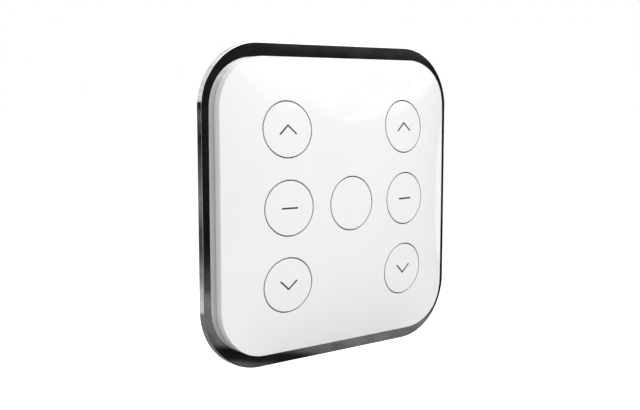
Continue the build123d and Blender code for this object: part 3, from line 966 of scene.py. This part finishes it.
# %% Marks on six keys
def stroke_outline(start, end, round_steps=10, line_steps=12):
    """Outline of one stroke, and the point of its centre line that each outline point belongs to.

    The centre line's share goes from start to end and back, and waits at each end while the
    outline turns half a circle round it. An outline point is its centre point plus the stroke's
    radius times a direction.
    """
    start, end = np.array(start), np.array(end)
    facing = atan2(end[1] - start[1], end[0] - start[0])
    side = np.linspace(0, 1, line_steps + 1)[1:-1]
    wait = np.ones(round_steps)
    share = np.concatenate([0 * wait, side, wait, side[::-1]])
    turn = facing + np.concatenate([
        np.linspace(pi / 2, 3 * pi / 2, round_steps), np.full(len(side), 3 * pi / 2),
        np.linspace(-pi / 2, pi / 2, round_steps), np.full(len(side), pi / 2),
    ])
    spine = start + share[:, None] * (end - start)
    return spine + mark_stroke / 2 * np.stack([np.cos(turn), np.sin(turn)], axis=-1), spine


def stroke_patch(x0, z0, start, end, proud, shoulder=0.9, edge_share=0.3):
    """A stroke as rows from its middle line over its top, down its sides and back underneath.

    A row has the share of the way from middle line to outline, and its depth behind the crown.
    """
    outline, spine = stroke_outline(start, end)
    rows = []
    for share, depth in [
        (0.0, -proud), (shoulder, -proud), (1.0, -proud * edge_share),
        (1.0, mark_sunk), (0.0, mark_sunk),
    ]:
        flat = spine + share * (outline - spine)
        rows.append(on_crown(x0 + flat[:, 0], z0 + flat[:, 1], depth))
    return patch(np.stack(rows))


for key in key_places:
    if key == "centre":
        continue
    x0, z0 = key_places[key]
    line = mark_lines[key.split("_")[1]]
    strokes = [
        stroke_patch(x0, z0, start, end, mark_proud + mark_proud_step * i)
        for i, (start, end) in enumerate(zip(line, line[1:]))
    ]
    piece(
        "mark_" + key, strokes, "button_" + key, mark_grey,
        stands_for=["legend_" + key], sharp=70,
    )

# %% [markdown]
# ## The studio
#
# A white product on white needs care: the light must be soft and come mostly from the front and
# above, and chrome shows whatever stands around it. The world is white to the eye, to mirrors and
# through glass, and dimmer as a lamp.


# %% World
def make_world(ambient):
    """White where it is seen, mirrored or seen through glass, and a soft even light elsewhere."""
    world = bpy.data.worlds.new("studio_white")
    bpy.context.scene.world = world
    world.use_nodes = True
    tree = world.node_tree
    shader = tree.nodes["Background"]
    shader.inputs["Color"].default_value = (1, 1, 1, 1)
    path = add_node(tree, "ShaderNodeLightPath").outputs
    seen = path["Is Camera Ray"]
    for ray in ("Is Glossy Ray", "Is Transmission Ray"):
        either = add_node(tree, "ShaderNodeMath", {0: seen, 1: path[ray]}, operation="MAXIMUM")
        seen = either.outputs["Value"]
    level = add_node(tree, "ShaderNodeMapRange", {"Value": seen, "To Min": ambient, "To Max": 1.0})
    tree.links.new(level.outputs["Result"], shader.inputs["Strength"])
    return world


print("world", make_world(ambient=0.27).name)

# %% [markdown]
# The floor looks white to the camera, but keeps the shadow. Its own glow rises with distance, so
# that its far end meets the white world.


# %% Floor
def make_floor(height, size=40.0, steps=8, near=0.45, far=0.85, near_glow=0.60, far_glow=0.93):
    """A wide pale floor, white to the eye and to mirrors, that keeps a soft shadow near the object."""
    across = np.linspace(-size / 2, size / 2, steps + 1)
    x, y = np.meshgrid(across, across)
    grid = np.stack([x, y, np.full_like(x, height)], axis=-1)
    floor = new_object("studio_floor", *patch(grid, round_trip=False))
    finish = Finish("floor_white", (0.5, 0.5, 0.5), 1.0)
    finish.shader.inputs["Specular IOR Level"].default_value = 0.0
    finish.shader.inputs["Emission Color"].default_value = (1, 1, 1, 1)
    path = finish.node("ShaderNodeLightPath").outputs
    seen = finish.node(
        "ShaderNodeMath", {0: path["Is Camera Ray"], 1: path["Is Glossy Ray"]}, operation="MAXIMUM",
    ).outputs["Value"]
    distance = finish.node("ShaderNodeVectorMath", {0: finish.place}, operation="LENGTH")
    glow = finish.spread(distance.outputs["Value"], near_glow, far_glow, near, far)
    level = finish.node("ShaderNodeMath", {0: seen, 1: glow}, operation="MULTIPLY")
    finish.tree.links.new(level.outputs["Value"], finish.shader.inputs["Emission Strength"])
    floor.data.materials.append(finish.material)
    return floor


floor = make_floor(-0.3)
print("floor at", floor.bound_box[0][2], "m")

# %% [markdown]
# Chrome on white is photographed with dark cards round the set, or it would vanish into the
# background. Here curved cards stand round the object. They show in reflections only: they cast
# no shadow and light nothing. A card's tone changes with height, tilted a little, like the dark
# end of a room above a pale table, and a slow noise makes its borders uneven.


# %% Cards that only reflections show
def make_card(
    name, tones, radius, start, end, low, high, tilt, unrest,
    patch_scale=70, patch_depth=0.3, foot=None, columns=49, rows=9,
):
    """Part of a cylinder round the object, between two angles about Z in degrees.

    A foot is a smaller radius that the card's lowest row runs in to, along the floor. The tone
    follows the height less the tilt times x, plus a little noise. Noise of the patch scale
    multiplies it by one, less or more a patch depth. Tones are pairs of such a height and a
    strength, from the lowest up.
    """
    turn = np.radians(np.linspace(start, end, columns))
    height = np.linspace(low, high, rows)
    reach = np.full(len(height), radius)
    if foot is not None:
        height = np.append(low, height)
        reach = np.append(foot, reach)
    turn, height = np.meshgrid(turn, height)
    reach = reach[:, None]
    grid = np.stack([reach * np.cos(turn), reach * np.sin(turn), height], axis=-1)
    card = new_object(name, *patch(grid, round_trip=False))
    finish = Finish(name + "_felt", (0, 0, 0), 1.0)
    split = finish.node("ShaderNodeSeparateXYZ", {"Vector": finish.place})
    tilted = finish.node(
        "ShaderNodeMath", {0: split.outputs["X"], 1: -tilt, 2: split.outputs["Z"]},
        operation="MULTIPLY_ADD",
    ).outputs["Value"]
    cloud = finish.noise(8.0, detail=8, rough=0.6)
    uneven = finish.node(
        "ShaderNodeMath", {0: cloud, 1: unrest, 2: tilted}, operation="MULTIPLY_ADD",
    ).outputs["Value"]
    centred = unrest / 2
    first, last = tones[0][0], tones[-1][0]
    place = finish.spread(uneven, 0.0, 1.0, first + centred, last + centred)
    stops = [((h - first) / (last - first), (tone, tone, tone)) for h, tone in tones]
    patchy = finish.spread(finish.noise(patch_scale, detail=6), 1 - patch_depth, 1 + patch_depth)
    glow = finish.node("ShaderNodeEmission", {"Color": finish.ramp(place, stops), "Strength": patchy})
    out = finish.tree.nodes["Material Output"]
    finish.tree.links.new(glow.outputs["Emission"], out.inputs["Surface"])
    card.data.materials.append(finish.material)
    for ray in ("camera", "diffuse", "shadow", "transmission", "volume_scatter"):
        setattr(card, "visible_" + ray, False)
    print(card.name, "with", len(tones), "tones")


# %% [markdown]
# The front card is dark, so the frame's flat front reads as black, with paler bands low down.
# The card above it is pale and patchy, and gives the crown its soft mirrored clouds. The card on
# the left and behind shades the frame's outer edge and the cover's side, and is pale at the top.

# %% The three cards
front_tones = [
    (-0.172, 0.11), (-0.163, 0.11), (-0.159, 0.012), (-0.151, 0.009), (-0.147, 0.13),
    (-0.138, 0.17), (-0.130, 0.21), (-0.118, 0.17), (-0.109, 0.23), (-0.105, 0.19),
    (-0.100, 0.085), (-0.087, 0.055), (-0.078, 0.022), (-0.065, 0.010), (0.020, 0.013),
    (0.108, 0.017), (0.116, 0.05),
]
above_tones = [(0.18, 0.02), (0.235, 0.15), (0.246, 1.15), (0.30, 1.3), (0.45, 2.0)]
left_tones = [
    (-0.29, 0.20), (-0.275, 0.22), (-0.240, 0.64), (-0.205, 0.58), (-0.180, 0.28), (-0.155, 0.10),
    (-0.130, 0.06), (-0.112, 0.12), (-0.100, 0.20), (-0.085, 0.17), (-0.045, 0.09), (-0.020, 0.02),
    (-0.003, 0.07), (0.016, 0.11), (0.050, 0.02), (0.115, 0.03), (0.119, 0.83), (0.60, 0.86),
]
make_card(
    "dark_card_front", front_tones, radius=0.55, start=-180, end=-12, low=-0.29, high=0.10,
    tilt=-0.13, unrest=0.004, foot=0.1,
)
make_card(
    "pale_card_above", above_tones, radius=0.55, start=-180, end=-12, low=0.10, high=0.50,
    tilt=-0.35, unrest=0.40, patch_scale=17, patch_depth=0.85,
)
make_card(
    "grey_card_left", left_tones, radius=0.9, start=40, end=170, low=-0.29, high=0.60,
    tilt=0.0, unrest=0.012, foot=0.1,
)

# %% [markdown]
# Lamps are large and soft. The key lamp hangs in front, above and to the right. Weaker ones on
# the left keep the side of the cover from going grey, and one behind shows the wall plate. Their
# power follows from the share of full light that each gives, so a lamp can move and keep it.


# %% Lamps
def make_lamp(name, place, target, size, level):
    """A square soft box aimed at a target, whose power gives a share of full light there.

    A box of power P at distance d lights a facing surface by P over pi d squared, and a white
    surface shows white at pi, so the power for a share is the share times pi squared d squared.
    """
    data = bpy.data.lights.new(name, "AREA")
    data.shape = "SQUARE"
    data.size = size
    towards = Vector(target) - Vector(place)
    data.energy = level * pi ** 2 * towards.length_squared
    lamp = bpy.data.objects.new(name, data)
    lamp.location = place
    lamp.rotation_euler = towards.to_track_quat("-Z", "Y").to_euler()
    bpy.context.scene.collection.objects.link(lamp)
    print(name, round(data.energy, 2), "W")


aim = (0.0, -0.01, 0.0)
make_lamp("key_lamp", (0.45, -1.0, 0.95), aim, size=1.6, level=0.96)
make_lamp("fill_lamp", (-0.75, -1.0, 0.35), aim, size=1.1, level=0.36)
make_lamp("side_lamp", (-1.1, 0.3, 0.15), aim, size=0.9, level=0.22)
make_lamp("back_lamp", (0.9, 1.1, 0.8), aim, size=0.9, level=0.5)

# %% [markdown]
# ## The camera
#
# The photograph was taken from the left, a little above, and quite close: the near side is
# clearly taller than the far one. The camera's place and lens were found by matching the outline
# and the seven keys.

# %% Camera
look_down = 6.396
look_right = 38.345
lens = bpy.data.cameras.new("camera")
lens.lens = 54.08
lens.sensor_width = 36.0
lens.clip_start = 0.01
lens.clip_end = 100.0
camera = bpy.data.objects.new("camera", lens)
camera.location = (-0.16891, -0.21386, 0.0288)
camera.rotation_euler = (radians(90 - look_down), 0.0, radians(-look_right))
bpy.context.scene.collection.objects.link(camera)
bpy.context.scene.camera = camera
bpy.context.scene.view_settings.view_transform = "Standard"
print("camera", round(camera.location.length, 3), "m from the origin")
